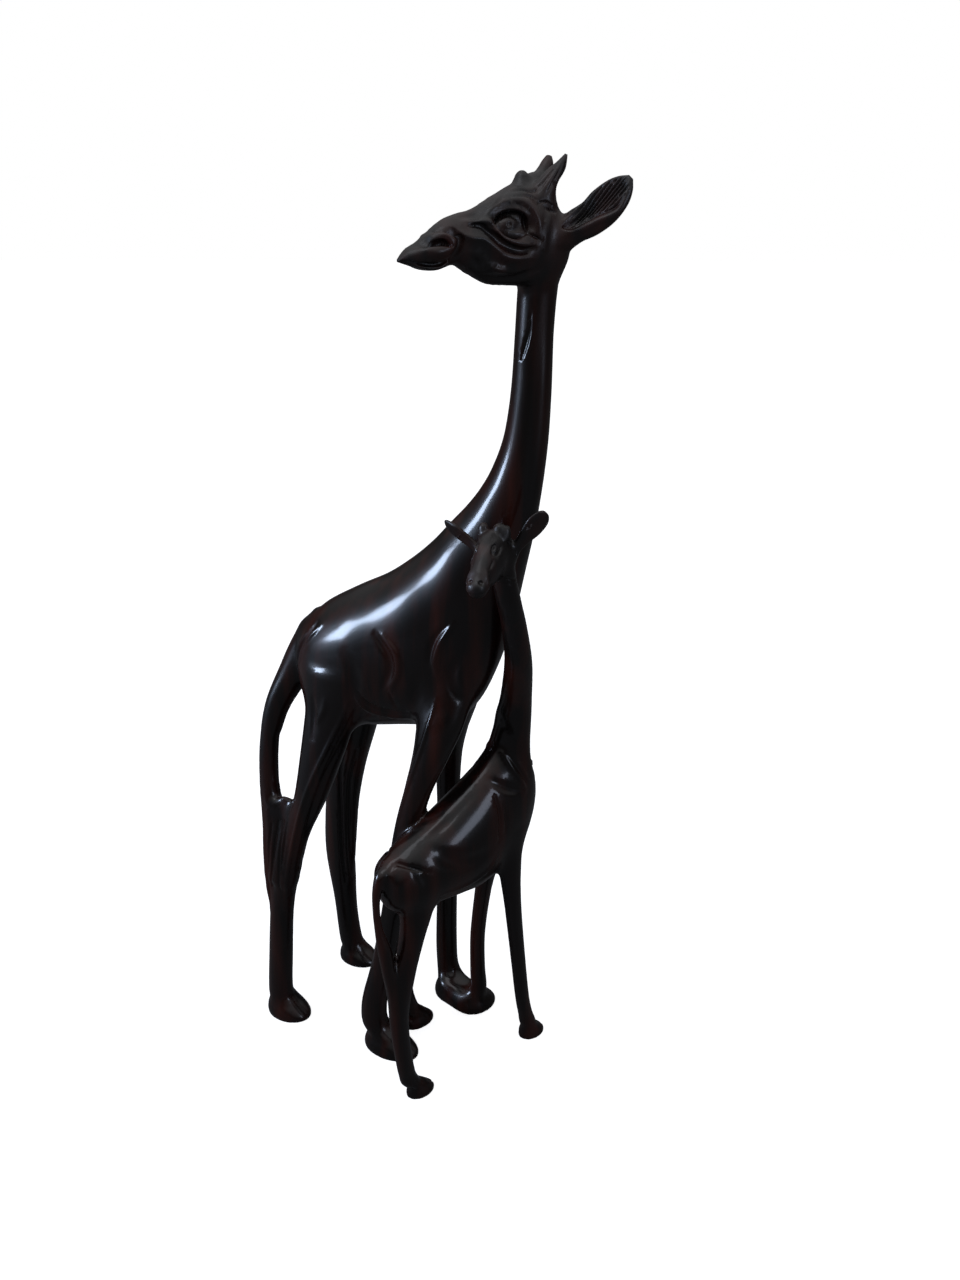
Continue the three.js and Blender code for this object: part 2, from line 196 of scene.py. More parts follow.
# each foot: [x, y, half length, half width, height of the hoof]
MOTHER_FEET = [
    (-34.8, -25, 11.6, 7.7, 9.5),
    (-22.5, 25, 11, 7.4, 8.6),
    (25.8, -25.4, 14, 7.8, 9),
    (40, 21.5, 12.2, 8.2, 9.5),
]
MOTHER_LEGS = legs(MOTHER_FEET, [
    # near hind
    [
        (-39, -25, 15, 6.4, 5.6),
        (-37.2, -24.5, 37, 6.2, 5.5),
        (-33.8, -24, 68, 6, 5.4),
        (-27.8, -23, 95, 6.8, 5.6),
        (-21, -21.5, 115, 6.8, 6),
        (-14.4, -20, 133, 8.3, 6.8),
        (-8.8, -17.5, 154, 10.6, 8),
        (-4, -14, 175, 13, 9.5),
        (0, -10, 195, 15, 11),
    ],
    # far hind
    [
        (-27.5, 25, 15, 6.4, 5.4),
        (-29, 24.8, 38, 6.2, 5.4),
        (-29.8, 24.5, 70, 8.8, 5.8),
        (-26.4, 23.5, 102, 9.4, 6),
        (-20.8, 21.5, 127, 10.2, 6.8),
        (-13.5, 19, 148, 10.5, 7.8),
        (-7, 15, 170, 12.5, 9),
        (-2, 11, 192, 14, 11),
    ],
    # near fore
    [
        (17.2, -25.5, 15, 6.8, 5.8),
        (17.4, -25, 28, 6.4, 5.5),
        (22.9, -24.5, 52, 5.7, 5.1),
        (30.6, -24, 90, 5.4, 5.2),
        (37.4, -23, 127, 6, 5.5),
        (41.8, -21, 147, 6.1, 6.2),
        (47.4, -17.5, 166, 8.2, 7.8),
        (51, -13.5, 183, 10.5, 9),
        (53, -7, 203, 9, 7),
    ],
    # far fore
    [
        (32.6, 25.3, 15, 5.8, 5.3),
        (32.2, 25, 31, 5.6, 5),
        (33, 24.5, 57, 5.3, 4.9),
        (34.6, 24, 98, 5.4, 5),
        (36, 22.5, 139, 6.2, 5.9),
        (39.5, 18.5, 160, 7.8, 7.4),
        (45, 14, 180, 10, 9.5),
        (50, 7, 202, 10, 8),
    ],
])

# Her tail
# It swings out from the rump and joins the near hind leg again, where it ends in a tuft of hair
# with flutes cut along it. An open space is left between tail and leg.
def taper(rows, across=(0, 1, 0)):
    """Stations for a roll along a bent line: [x, y, z, half width, other half width]."""
    middles = np.array([row[:3] for row in rows], float)
    padded = np.vstack([2 * middles[0] - middles[1], middles, 2 * middles[-1] - middles[-2]])
    stations = []
    for row, before, after in zip(rows, padded, padded[2:]):
        along = (after - before) / np.linalg.norm(after - before)
        first = np.cross(along, across)
        first /= np.linalg.norm(first)
        second = np.cross(along, first)
        stations.append([*row[:3], *(first * row[3]), *(second * row[-1])])
    return stations


MOTHER_TAIL = Roll(taper([
    (-17, 0, 203, 4.5),
    (-25, -2, 196.5, 6.2),
    (-31.4, -5.5, 185, 5.8),
    (-37.8, -11, 170, 4.6),
    (-40.5, -14, 152, 4.5),
    (-40.4, -17, 132, 4.7),
    (-37.6, -20, 112, 5.6),
    (-37.6, -22.5, 95, 5),
    (-38.2, -24, 76, 3.8),
    (-38, -24.5, 64, 2.2),
]))
MOTHER_TAIL_WEB = Roll(taper([
    (-14, 0, 213, 6),
    (-20.5, -1, 206, 7.2),
    (-26, -3, 192, 6),
    (-30.5, -6, 181, 4.4),
    (-34.5, -9, 171, 3),
    (-37.5, -12, 160, 1.4),
]))
MOTHER_TUFT_ROOT = Roll(taper([
    (-29, -20.6, 127, 2, 1.2),
    (-29.8, -20.8, 122, 5, 2),
    (-30.5, -21, 113, 6.5, 2.8),
    (-31.6, -21.6, 102, 6.6, 4),
    (-33, -23, 84, 5, 5),
]))
HAIR_TWIST = 9.0  # radians by which the wave of the flutes shifts from the tail's root to its end
FADE_IN, FADE_OUT = 0.2, 0.1  # shares of the tail over which the flutes deepen and fade


def hair(points, tail, start, end, strands, depth):
    """Depth of the flutes of a tuft, between two places along the tail."""
    cuts = np.zeros(len(points))
    close = tail.near(points, 2)
    if close.size:
        distance, place, u, v = tail.measure(points[close])
        flutes = 0.5 - 0.5 * np.cos(strands * np.arctan2(v, u) + HAIR_TWIST * place)
        reach = rise(place, start, start + FADE_IN) * (1 - rise(place, end - FADE_OUT, end))
        cuts[close] = depth * flutes * reach * (1 - rise(distance, 0.6, 2))
    return cuts


# Creases of her flank, rump and legs
# Cut with a gouge and rubbed smooth. A stroke is a line drawn on the flat side view, x along the
# body and z up, with a half width and a depth. A negative depth is an edge left standing proud.
def stroke(flat, stations, sharp):
    """How deep one stroke cuts at each point of the side view."""
    depth = np.zeros(len(flat))
    path = curve(stations, 5)
    widest = path[:, 2].max()
    inside = (flat > path[:, :2].min(0) - widest) & (flat < path[:, :2].max(0) + widest)
    close = np.flatnonzero(np.all(inside, axis=1))
    if not close.size:
        return depth
    start, step = path[:-1], np.diff(path, axis=0)
    length = np.maximum(np.sum(step[:, :2] ** 2, axis=1), 1e-9)
    away = flat[close, None] - start[None, :, :2]
    share = np.clip(np.sum(away * step[None, :, :2], axis=2) / length, 0, 1)
    gap = away - share[..., None] * step[None, :, :2]
    off = np.hypot(gap[..., 0], gap[..., 1]) / (start[:, 2] + share * step[:, 2])
    best = off.argmin(1)
    n = np.arange(len(close))
    off = np.minimum(off[n, best], 1)
    deep = (start[:, 3] + share * step[:, 3])[n, best]
    depth[close] = deep * ((1 - off) ** 1.5 if sharp else (1 - off * off) ** 2)
    return depth


def strokes(flat, drawn, sharp=False):
    return sum(stroke(flat, stations, sharp) for stations in drawn)


END_WIDTH, END_DEPTH = 0.7, 0.35  # a stroke starts and ends with these shares


def line(width, depth, *points):
    """A stroke of one width and depth that starts and ends fine."""
    rows = [[x, z, width, depth] for x, z in points]
    for end in (rows[0], rows[-1]):
        end[2:] = [END_WIDTH * width, END_DEPTH * depth]
    return rows


# Side view of the flank: x along the body, z up
MOTHER_CREASES = [
    # the stifle fold, in front of the thigh
    line(5.0, 1.0, (9, 208), (12.6, 202), (13.4, 196), (12, 190), (11.8, 183)),
    # the flank fold: a hollow with a raised edge in front of it
    line(2.8, 1.1, (23.5, 219), (30, 211.5), (30.8, 204), (26.6, 195)),
    line(2.4, -0.9, (27.2, 219.5), (33.8, 212.4), (34.4, 204), (29.8, 194)),
    line(1.2, 0.5, (29, 195), (30, 190), (31.2, 185.5)),
    # the crease behind the shoulder
    line(2.4, 0.9, (56, 227), (52, 222), (49.6, 217), (48.4, 210.5)),
    line(2.2, -0.9, (59.2, 228.5), (55, 223), (52.4, 217.7), (51, 210.5), (51.4, 203)),
    # the elbow
    line(3.4, 1.0, (60.5, 213), (57, 206.5), (57.6, 199), (61, 193)),
    line(2.4, -0.6, (61.5, 209), (60.4, 203), (63, 196.5)),
    line(4.0, 0.7, (43, 203), (42, 194), (39, 186)),
    # the line along the edge of the belly
    line(1.6, -0.8, (12.5, 188), (15, 183.5), (19, 180.5), (28, 179), (37, 180)),
    line(1.5, 0.8, (14, 191), (17, 186.4), (21, 183.8), (28, 182.4), (36, 183.2)),
    # hollows of the thigh
    line(3.4, 1.1, (-8.5, 184), (-8.4, 175), (-8.8, 165)),
    line(2.4, -0.7, (-1.8, 185), (-3, 179.4), (-6.4, 173)),
    # the lines from the rump down to the tail
    line(1.5, -0.7, (-5.7, 217.2), (-11.2, 211.6), (-17.1, 204.3), (-20.2, 194)),
    line(1.7, 0.9, (-9.5, 216.5), (-14.6, 209.5), (-19.6, 201.5), (-22, 191)),
    line(1.4, -0.6, (-16.5, 210.5), (-21.4, 202.5), (-23.6, 193)),
]
NEAR_CUTS = [
    # the edge down the near hind leg, and the groove in front of it
    line(1.5, -0.7, (9, 185), (-1, 163), (-14.6, 132.5), (-24, 99.5), (-30, 68)),
    line(1.8, 0.8, (11.5, 181), (3.6, 163), (-4.6, 144.9), (-14.4, 118), (-22, 92)),
    # the edge down the near foreleg
    line(1.5, -0.7, (51, 194), (46.6, 174), (38, 147.3), (33, 126), (28, 96), (20, 50)),
    # a narrow leaf-shaped gouge below the jaw, and the flat along the front of the neck
    [(85.6, 347.5, 0.5, 0.3), (84.9, 341, 1, 0.8), (83.4, 335.6, 1.4, 1), (81.9, 330.5, 0.6, 0.3)],
    line(3.4, 0.5, (91.5, 360), (89, 334), (87.8, 318), (86.6, 300), (84.6, 277), (80, 255)),
    # strands of the tuft
    line(1.2, 0.9, (-34.8, 114), (-36.2, 102), (-36.6, 88)),
    line(1.2, 1.0, (-31.4, 116.3), (-33.6, 100), (-36, 80)),
    line(1.2, 1.0, (-28.5, 117), (-29.8, 100), (-30.6, 80)),
    line(1.1, 0.9, (-25.9, 117), (-27, 106), (-28.7, 92)),
]
FAR_CUTS = [
    # grooves down the far hind leg
    line(1.6, 1.0, (-16, 138), (-21.5, 122.5), (-24.4, 97), (-25.6, 70), (-25.2, 52)),
    line(1.6, 1.0, (-10, 140), (-16.6, 120), (-20.4, 97), (-22.2, 72), (-22.4, 55)),
]
SIDE_START, SIDE_FULL = 2, 6  # strokes fade out towards the middle line of the body


def mother_cuts(p):
    """Depth of all strokes on the mother below her jaw."""
    flat, y = p[:, [0, 2]], p[:, 1]
    near, far = rise(-y, SIDE_START, SIDE_FULL), rise(y, SIDE_START, SIDE_FULL)
    depth = strokes(flat, MOTHER_CREASES) * (near + far)
    depth += strokes(flat, NEAR_CUTS) * near + strokes(flat, FAR_CUTS) * far
    return depth + hair(p, MOTHER_TAIL, start=0.5, end=0.99, strands=9, depth=0.5)


def mother_body(points):
    field = np.full(len(points), REACH)
    join(field, points, MOTHER_BODY, soft=6)
    for leg in MOTHER_LEGS:
        join(field, points, leg, soft=7)
    join(field, points, MOTHER_TAIL, soft=2.2)
    join(field, points, MOTHER_TAIL_WEB, soft=6)
    join(field, points, MOTHER_TUFT_ROOT, soft=6)
    return field


# The mother's head
# A long egg, deepest at the jaw, turned back over her near side, with two pointed horns, a knob on
# the forehead, cupped ears and deep-set eyes. Its frame: along the nose, to the left, up.
MOTHER_SKULL = Roll([
    span(57, -10.9, 57, -11.9, 1.2),
    span(54.2, -7.8, 54, -12.8, 3.4),
    span(50.6, -5.8, 50.3, -13.8, 5.2),
    span(46, -2.4, 46, -14.6, 6.1),
    span(41, 1.2, 41.5, -14, 6.4),
    span(35.5, 3.2, 37, -12.9, 6.8),
    span(30, 4.6, 32, -15.6, 7.5),
    span(22, 8.8, 24.5, -19, 8.7),
    span(14, 12.8, 17, -19.6, 10),
    span(7, 13.4, 9, -19.8, 10.3),
    span(2, 11.2, 2, -19.6, 10),
    span(-2, 6, -2.5, -18, 8.8),
    span(-5, 0.5, -5.5, -14, 6.6),
    span(-6.8, -4, -7.2, -9.5, 3),
])
MOTHER_HORNS = [Roll(taper(rows)) for rows in [
    # near horn
    [(5, 4.4, 7, 4.6), (4, 4.9, 11.5, 3.9), (1.6, 5.4, 15.3, 2.9), (-1.2, 5.8, 18.6, 1.8),
     (-3.3, 6, 22.5, 0.2)],
    # far horn
    [(5, -4.4, 7, 4.8), (3.4, -4.8, 12, 3.7), (-0.8, -5.6, 17, 2.5), (-2.8, -6, 20, 2.1),
     (-3.4, -6.1, 22.2, 1)],
    # knob on the forehead
    [(10.8, 0, 11, 2.6), (10.8, 0, 13.5, 2.7), (10.7, 0, 15.6, 2.2), (10.7, 0, 16.8, 0.8)],
    # ridge of the crown
    [(11, -1, 9, 3), (8, -1.6, 12.4, 3), (4.4, -2.4, 13.8, 3), (1, -3.4, 14.6, 2)],
]]


class Ball:
    """An oval lump, such as an eyeball."""

    def __init__(self, middle, radii):
        self.middle, self.radii = np.array(middle, float), np.array(radii, float)

    def near(self, points):
        return np.flatnonzero(np.linalg.norm(points - self.middle, axis=1) < self.radii.max() + REACH)

    def distance(self, points):
        away = (points - self.middle) / self.radii
        out = np.linalg.norm(away, axis=1)
        return out * (out - 1) / np.maximum(np.linalg.norm(away / self.radii, axis=1), 1e-6)


# [share of the length, shift across, half width, half thickness] of the mother's ear
MOTHER_LEAF = [
    (0, 0.3, 5.4, 4),
    (0.2, 0.3, 5.7, 3.6),
    (0.4, 1.3, 6.2, 3.2),
    (0.6, 1, 6.7, 2.9),
    (0.8, 0.2, 5.7, 2.4),
    (0.93, -0.6, 3.7, 1.8),
    (1.02, -1.2, 1, 0.8),
]
EAR_LENGTH = 29.0
# drawn on the leaf: along it from its root, and across it, down towards its thick lower rim
EAR_HOLLOW = [
    (3.5, -0.2, 1, 1.2),
    (6, -0.2, 2.6, 2.6),
    (10, -0.6, 4.2, 2.5),
    (15, -0.2, 5.2, 2),
    (20, -0.3, 5.2, 1.6),
    (25, -0.6, 3.8, 1),
    (28, -1, 1.4, 0.4),
]
EAR_RIM_EDGE = [(3.8, 0.2), (5.4, 1.6), (9, 2.1), (14, 2.9), (18, 4.2), (21.3, 4.7), (25, 3.2)]
EAR_RIM = [(4.5, 2.4), (9, 4), (14, 4.9), (18, 6), (21.5, 5.9), (25, 4)]
EAR_UPPER_EDGE = [(5, -5), (12, -4.4), (16, -5), (20, -5.4), (24, -4.8), (27, -3.6), (29, -2)]
HAIR_SPACING, HAIR_SLANT, HAIR_DEPTH = 1.35, 0.27, 0.75
EAR_OUT, EAR_ACROSS = 8.0, 10.0  # an ear's cuts reach no farther out and across than this
SOFT_HOLLOW = 0.4  # share of the hollow that an ear without fine cuts still has


class Ear:
    """A cupped leaf of wood on one side of the head. Its hollow looks along face."""

    def __init__(self, leaf, side, root, reach, face, fine=1.0):
        self.side, self.root = np.array([1, side, 1]), np.array(root, float)
        self.fine = fine
        length = np.linalg.norm(reach)
        self.along = np.array(reach, float) / length
        across = np.cross(self.along, face)
        self.across = across / np.linalg.norm(across)
        self.face = np.cross(self.across, self.along)
        self.stretch = length / EAR_LENGTH
        rows = []
        for share, shift, wide, thick in leaf:
            rows.append([*(self.root + self.along * length * share + self.across * shift), wide, thick])
        self.leaf = Roll(taper(rows, face))

    def near(self, points):
        return self.leaf.near(points * self.side)

    def distance(self, points):
        return self.leaf.distance(points * self.side)

    def cuts(self, points):
        """Depth of the hollow, the edge of its rim, and the hair in it."""
        away = points * self.side - self.root
        out = away @ self.face
        flat = np.column_stack([away @ self.along / self.stretch, away @ self.across])
        front = rise(out, -0.4, 0.4) * (out < EAR_OUT) * (np.abs(flat[:, 1]) < EAR_ACROSS)
        depth = stroke(flat, EAR_HOLLOW, False) * (SOFT_HOLLOW + (1 - SOFT_HOLLOW) * self.fine)
        depth += stroke(flat, line(1.2, 1.1, *EAR_RIM_EDGE), True) * self.fine
        depth += stroke(flat, line(1.7, -0.7, *EAR_RIM), False) * self.fine
        s, w = flat[:, 0], flat[:, 1]
        rim, edge = np.array(EAR_RIM_EDGE), np.array(EAR_UPPER_EDGE)
        inside = rise(np.interp(s, rim[:, 0], rim[:, 1]) - w, 0.5, 1.1)
        inside *= rise(w - np.interp(s, edge[:, 0], edge[:, 1]), 0.3, 0.8)
        inside *= rise(s, 5.5, 8) * (1 - rise(s, 26.5, 28.5))
        strands = 0.5 - 0.5 * np.cos(2 * math.pi * (w + HAIR_SLANT * s) / HAIR_SPACING)
        return (depth + HAIR_DEPTH * self.fine * strands * inside) * front


EYE = np.array([18.6, -0.4])
EYE_BALL = Ball((EYE[0], 4.9, EYE[1]), (4.1, 3.3, 3))
PUPIL, PUPIL_RADIUS, PUPIL_DEPTH = EYE + (1.1, 0.2), 1.1, 0.6
EYE_SOCKET = [(23.6, 0.6, 3.4, 1.6), (19, 0.3, 5, 2.8), (14.2, -0.6, 4, 2.5)]
# side view of the face, x along the nose, z up: first the forms, left proud
FACE_FORMS = [
    # the bony rim over the eye
    line(2.6, -1.0, (27.4, 3.4), (23.8, 6), (19.2, 7.8), (14.6, 7.4), (11, 4.4), (9.4, 0),
         (8.8, -4.6)),
    # the edge under the eye, running back to the ear
    line(1.7, -1.1, (35, 1), (29, 0.9), (25.6, 0.2), (23.6, -3.4), (20.6, -5.2), (15.9, -6.2),
         (8.6, -6.8)),
    line(1.3, -0.9, (5.6, 2.6), (6.8, -2), (7.4, -7), (7.8, -13)),
    # the cheek, and the light edge of the jaw
    line(2.2, -1.3, (38, -3), (33.4, -4.4), (29.5, -4.8), (25.4, -7.6), (21.5, -10.2), (16.5, -11),
         (9, -10.4)),
    line(1.7, -1.1, (28, -12.6), (23.3, -14.4), (18, -15)),
    # the swell of the muzzle, the wing of the nostril and the lower lip
    line(3.2, -1.4, (49.5, -8.2), (45.5, -8.8), (41.8, -8), (40.4, -5.4), (42.6, -3.2), (47, -3.6)),
    line(1.4, -0.8, (53, -13.2), (48.5, -14), (43.5, -13.8), (40.6, -12.2)),
]
FACE_HOLLOWS = [
    # the long groove of the cheek
    [(34, -0.8, 0.7, 0.3), (30, -0.8, 1.2, 1.1), (27, -2.7, 1.5, 1.4), (23.2, -5.9, 1.7, 1.5),
     (19.4, -7.7, 1.7, 1.5), (15.6, -8.4, 1.5, 1.3), (13.1, -8, 1.2, 0.9), (10.8, -6.9, 0.7, 0.3)],
    # under the jaw
    line(2.0, 0.8, (29.6, -15.8), (24.6, -17.1), (20.3, -17.3), (15.9, -17), (11.3, -15.6), (6.4, -13.6)),
    line(2.0, 0.9, (33.2, -10.4), (30.4, -12.6), (28.6, -14.6)),
    line(1.8, 1.5, (43.6, -1.6), (40, -2.6), (37.5, -4.6), (37.6, -7.6), (39.2, -10.6),
         (39.6, -13)),
    line(2.2, 1.0, (36, 1.8), (31, 2.6), (27.5, 4.6)),
    line(1.6, 1.0, (52.6, -6.6), (49.4, -6.2), (47.6, -4.6)),
]
FACE_CUTS = [
    # lids, with the dark line round the eyeball
    line(1.2, 2.2, (24.4, 0), (22.4, 2.1), (20, 3.2), (16.6, 3.1), (14.2, 1.2), (13.4, -2)),
    line(1.2, 1.9, (24.4, 0), (22.4, -2.1), (20.1, -3.4), (17.2, -3.8), (14.2, -3)),
    line(0.9, 1.1, (13.8, -2.6), (11.4, -3.8), (8.9, -5.2)),
    line(1.1, 0.35, (26, 2.8), (23, 5), (19.2, 6), (15.2, 5.6), (12.4, 3.2), (11, 0), (10.4, -3.6)),
    # nostril, the fold over it, and the mouth
    [(48.6, -6.8, 0.7, 0.8), (46.4, -6.1, 1.1, 2.5), (44, -5.8, 1.3, 2.9), (41.8, -6.4, 1.1, 2.3),
     (40.4, -7.2, 0.6, 0.6)],
    line(0.9, 0.8, (48.4, -3.6), (46.2, -2.4), (43.4, -2), (40.4, -2.6), (38.2, -4.2)),
    line(0.9, 1.5, (58, -11.3), (55, -11.9), (52, -12.4), (46.4, -12.8), (42.8, -12.3), (40.2, -10.8)),
    # wrinkles of the forehead
    line(0.8, 0.6, (17.7, 9.6), (14.5, 10.8), (10.7, 10), (8, 10.8)),
    line(0.8, 0.6, (20.7, 8), (16.6, 8.8), (12, 8.6), (8.6, 7)),
    line(0.7, 0.55, (19.4, 9.6), (15, 12), (11, 11.8)),
    line(0.8, 0.7, (25, 5.2), (22.2, 7.4), (19.2, 9.8)),
    line(0.7, 0.6, (27.4, 4.6), (24.6, 6.8), (22.4, 9)),
    line(0.8, 0.9, (9.4, 6.4), (6.4, 6.9), (3.4, 5.6)),
    line(0.7, 0.8, (6.6, 4.9), (4.4, 4.3), (2, 3.6)),
]
HORN_CUTS = [
    line(0.7, 0.6, (8.4, 10), (5.4, 14), (0.6, 19)),
    line(0.7, 0.6, (6.2, 9.2), (3.4, 13), (-0.6, 18.6)),
    line(0.7, 0.5, (9.4, 12.4), (7, 15), (3.4, 17.8)),
    line(0.7, 0.5, (10, 9.4), (7.6, 12), (5.6, 14.4)),
    line(1.2, 1.0, (2.2, 7.6), (0.2, 13), (-2, 19)),
]


def turned(points, degrees):
    """Points turned about the upright axis."""
    c, s = math.cos(math.radians(degrees)), math.sin(math.radians(degrees))
    return points @ np.array([[c, s, 0], [-s, c, 0], [0, 0, 1]])


HEAD_REACH = 62.0  # nothing of a head at full size is farther from its poll
EAR_NEAR, EAR_CLEAR = 11, 12.5  # how far out the face ends and the ears begin


class Head:
    """A whole head, placed on its neck and turned to its heading, its nose dipped."""

    def __init__(self, poll, heading, dip, size, skull, growths, ears, forms, face_cuts):
        self.poll, self.heading, self.size = np.array(poll, float), heading, size
        self.dip = math.radians(dip)
        self.skull, self.growths, self.ears = skull, growths, ears
        self.carve_forms, self.face_cuts = forms, face_cuts

    def to_head(self, points):
        p = turned(points - self.poll, -self.heading)
        c, s = math.cos(self.dip), math.sin(self.dip)
        x, z = c * p[:, 0] - s * p[:, 2], s * p[:, 0] + c * p[:, 2]
        return np.column_stack([x, p[:, 1], z]) / self.size

    def near(self, points):
        far = np.linalg.norm(points - self.poll, axis=1)
        return np.flatnonzero(far < HEAD_REACH * self.size + REACH)

    def distance(self, points):
        p = self.to_head(points)
        field = np.full(len(p), REACH / self.size)
        for form in [self.skull] + self.growths:
            join(field, p, form, soft=2)
        for ear in self.ears:
            join(field, p, ear, soft=3)
        self.carve_forms(field, p)
        return field * self.size

    def cuts(self, points):
        """Depth of all strokes on the head."""
        p = self.to_head(points)
        return (self.face_cuts(p) + sum(ear.cuts(p) for ear in self.ears)) * self.size


def off_ears(p):
    """1 on the face and the horns, and 0 on the ears."""
    return 1 - rise(np.abs(p[:, 1]), EAR_NEAR, EAR_CLEAR)


def on_face(p):
    """1 on the sides of the face, and 0 along its middle line and on the ears."""
    return rise(np.abs(p[:, 1]), 0.8, 3.2) * off_ears(p)


def folded(p):
    """Points of the right side moved over to the left side, so that one eye makes two."""
    return np.column_stack([p[:, 0], np.abs(p[:, 1]), p[:, 2]])


def carve_face(field, p, forms, eye_ball):
    """The forms stand proud or sink in, and the eyeballs lie in their sockets."""
    close = np.flatnonzero(np.abs(field) < 5)
    q = p[close]
    carved = field[close] + strokes(q[:, [0, 2]], forms) * on_face(q)
    field[close] = soft_min(carved, eye_ball.distance(folded(q)), 0.5)


def carve_mother_forms(field, p):
    carve_face(field, p, FACE_FORMS + [EYE_SOCKET], EYE_BALL)


def mother_face_cuts(p):
    flat = p[:, [0, 2]]
    depth = (strokes(flat, FACE_HOLLOWS) + strokes(flat, FACE_CUTS, sharp=True)) * on_face(p)
    depth += strokes(flat, HORN_CUTS, sharp=True) * rise(np.abs(p[:, 1]), 3, 5) * off_ears(p)
    off = np.linalg.norm(flat - PUPIL, axis=1) / PUPIL_RADIUS
    return depth + PUPIL_DEPTH * np.clip(1 - off * off, 0, 1) * on_face(p)


EAR_FACE = (0.72, 0.62, 0.3)
MOTHER_EARS = [
    Ear(MOTHER_LEAF, 1, (-1, 7, -4), (-16.6, 16.6, 17), EAR_FACE),
    Ear(MOTHER_LEAF, -1, (-1, 7, -4), (-14, 20, 13), EAR_FACE),
]
MOTHER_HEAD = Head(
    poll=(88.6, 0, 375.8),
    heading=-129,
    dip=0,
    size=1,
    skull=MOTHER_SKULL,
    growths=MOTHER_HORNS,
    ears=MOTHER_EARS,
    forms=carve_mother_forms,
    face_cuts=mother_face_cuts,
)

# The calf's body
# The calf is carved from the same block, across the mother's forelegs. Its rump grows out of her
# near foreleg and one of its fore hooves is joined to hers.
CALF_PLACE, CALF_TURN = (53.0, -8.0), 60
MIDDLE = -6  # the middle line of its trunk, across its frame
CALF_BODY = Roll([
    span(-42, 121, -43, 110, 5, MIDDLE),
    span(-39.5, 125.5, -38, 101, 10, MIDDLE),
    span(-31, 131, -27, 98, 12.5, MIDDLE),
    span(-19, 137, -14, 97, 14, MIDDLE),
    span(-8, 143.5, -3, 96, 14.5, MIDDLE),
    span(2, 150, 8, 96, 14.5, MIDDLE),
    span(11, 157, 22, 102, 13.5, MIDDLE),
    span(17, 164, 35, 115, 12, MIDDLE),
    span(19, 173, 39.3, 134, 9.8, -7),
    span(18, 182, 33.6, 157, 7.8, -10),
    span(16.6, 192, 30.6, 186, 6.4, -14.6),
    span(11.4, 212.7, 23.4, 209.8, 5.5, -23.4),
    span(5.6, 230.7, 16.4, 228.7, 5, -28.3),
    span(0.4, 243, 10.6, 241.8, 4.8, -31.7),
    span(-3, 256, 6.4, 255, 4.8, -33),
    span(-3, 265, 6, 264, 4.8, -32.4),
    span(-2, 271, 4, 271, 3.6, -31.6),
])
CALF_FEET = [
    (-31.2, -15.5, 6.6, 4.5, 5.6),
    (-7.6, 22.5, 7.4, 5.2, 7),
    (34.2, -17.5, 6.6, 4.6, 6),
    (24, 14.5, 9, 6.4, 7.5),
]
CALF_LEGS = legs(CALF_FEET, [
    # near hind
    [
        (-36.8, -15, 10, 4.1, 3.3),
        (-39.2, -15, 24, 4.1, 3.5),
        (-40.5, -14.5, 47, 4.5, 3.7),
        (-37.6, -14, 66, 5.3, 4.2),
        (-32, -12.5, 84, 5.9, 5),
        (-27.4, -10.5, 98, 7.9, 6.5),
        (-25.5, -8, 112, 11.5, 8.5),
    ],
    # far hind
    [
        (-13.2, 21.7, 13, 4.3, 3.5),
        (-17, 20, 29, 4.1, 3.5),
        (-17.5, 17, 53, 4.4, 3.8),
        (-20, 12, 78, 5.2, 4.6),
        (-22, 6, 96, 8, 6.2),
        (-24, 0, 112, 10, 7.4),
    ],
    # near fore
    [
        (31, -17, 12, 3.8, 3.3),
        (28.4, -16.7, 26, 3.6, 3.2),
        (24.7, -16.2, 60, 3.8, 3.4),
        (22.4, -15.5, 85, 4.3, 3.9),
        (22, -13.5, 104, 5.8, 5),
        (23.5, -10, 122, 8.4, 6.5),
    ],
    # far fore
    [
        (23.4, 13.2, 13.5, 4.5, 3.9),
        (22.8, 13, 26, 4, 3.6),
        (22.6, 12.5, 48, 3.9, 3.5),
        (23.6, 9, 77, 4.3, 4),
        (24.5, 4, 100, 6, 5.2),
        (24, 0, 118, 8, 7),
    ],
])
CALF_TAIL = Roll(taper([
    (-37, -7, 122, 4.5),
    (-42.5, -8, 121, 3.2),
    (-45.6, -8.7, 115.5, 2),
    (-46.5, -9, 106, 1.6),
    (-46.2, -10, 96, 1.9),
    (-44.8, -11.5, 86, 3.1),
    (-43.9, -12.5, 76, 3.2),
    (-43.1, -13.3, 67, 3),
    (-42.5, -14, 57, 2.4),
    (-41.8, -14.5, 45, 1.7),
    (-41.2, -15, 36, 1),
]))
